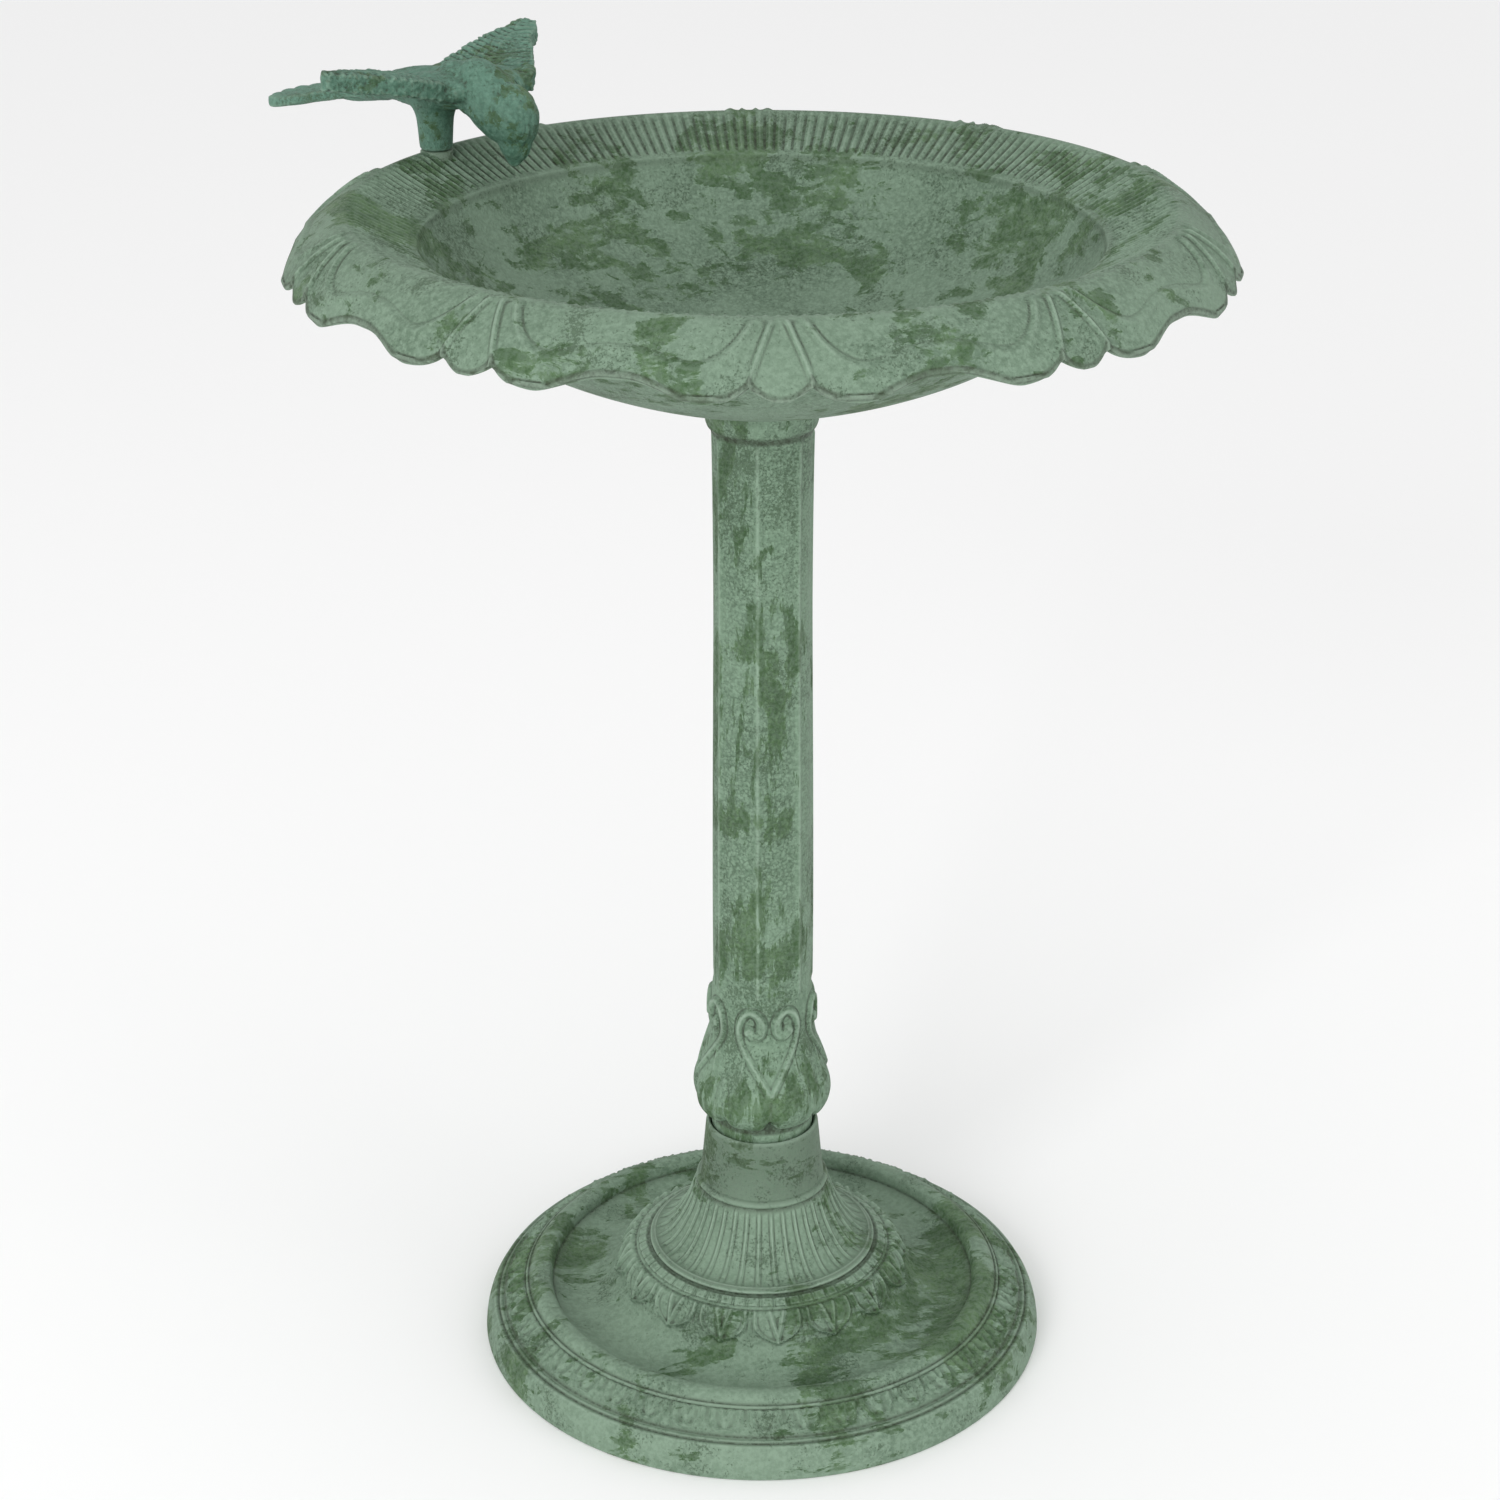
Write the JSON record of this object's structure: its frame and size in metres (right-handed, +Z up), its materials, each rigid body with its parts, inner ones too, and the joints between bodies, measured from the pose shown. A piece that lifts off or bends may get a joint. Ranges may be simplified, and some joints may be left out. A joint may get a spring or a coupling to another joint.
{
  "type": "bird bath",
  "caption": "Pedestal bird bath: a scalloped bowl with a drinking bird on its rim, on a reeded column in a round leaf-banded base.",
  "frame": {"origin": "centre of the base's foot, on the ground", "axes": "+Z up along the column's axis; the bird stands on the rim at the corner between -X and +Y and looks towards the axis"},
  "size_m": [0.478, 0.4778, 0.7159],
  "materials": {
    "base_paint": "matt sage verdigris paint rubbed with moss green, on cast metal",
    "column_paint": "matt sage verdigris paint rubbed with moss green, on cast metal",
    "bowl_paint": "matt sage verdigris paint rubbed with moss green, worn dark along the edge",
    "bird_paint": "matt blue-green verdigris paint with darker rubbed feathers",
    "zinc_steel": "zinc plated, slightly dulled"
  },
  "bodies": {
    "base": {"base_casting": "base_paint"},
    "column": {"column_casting": "column_paint"},
    "bowl": {"bowl_casting": "bowl_paint", "tie_rod": "zinc_steel", "rod_lock_nut": "zinc_steel", "bird_screw": "zinc_steel", "bird_screw_washer": "zinc_steel"},
    "bird": {"bird_figure": "bird_paint"},
    "washers": {"plate_washer": "zinc_steel", "spring_washer": "zinc_steel"},
    "nut": {"base_nut": "zinc_steel"}
  },
  "joints": [
    {"name": "column_lift", "type": "slide", "parent": "base", "child": "column", "axis": [0, 0, 1], "range_m": [0, 0.05]},
    {"name": "bowl_lift", "type": "slide", "parent": "column", "child": "bowl", "axis": [0, 0, 1], "range_m": [0, 0.5]},
    {"name": "bird_turn", "type": "hinge", "parent": "bowl", "child": "bird", "pos_m": [-0.14566, 0.14566, 0.659], "axis": [0, 0, 1], "range_deg": [-60, 60]},
    {"name": "washer_drop", "type": "slide", "parent": "base", "child": "washers", "axis": [0, 0, -1], "range_m": [0, 0.025]},
    {"name": "nut_turn", "type": "hinge", "parent": "washers", "child": "nut", "pos_m": [0, 0, 0.085], "axis": [0, 0, -1], "range_deg": [0, 7210]}
  ],
  "couplings": [
    {"joint": "nut_turn", "follows": "washer_drop", "rad_per_m": 5026.5}
  ]
}
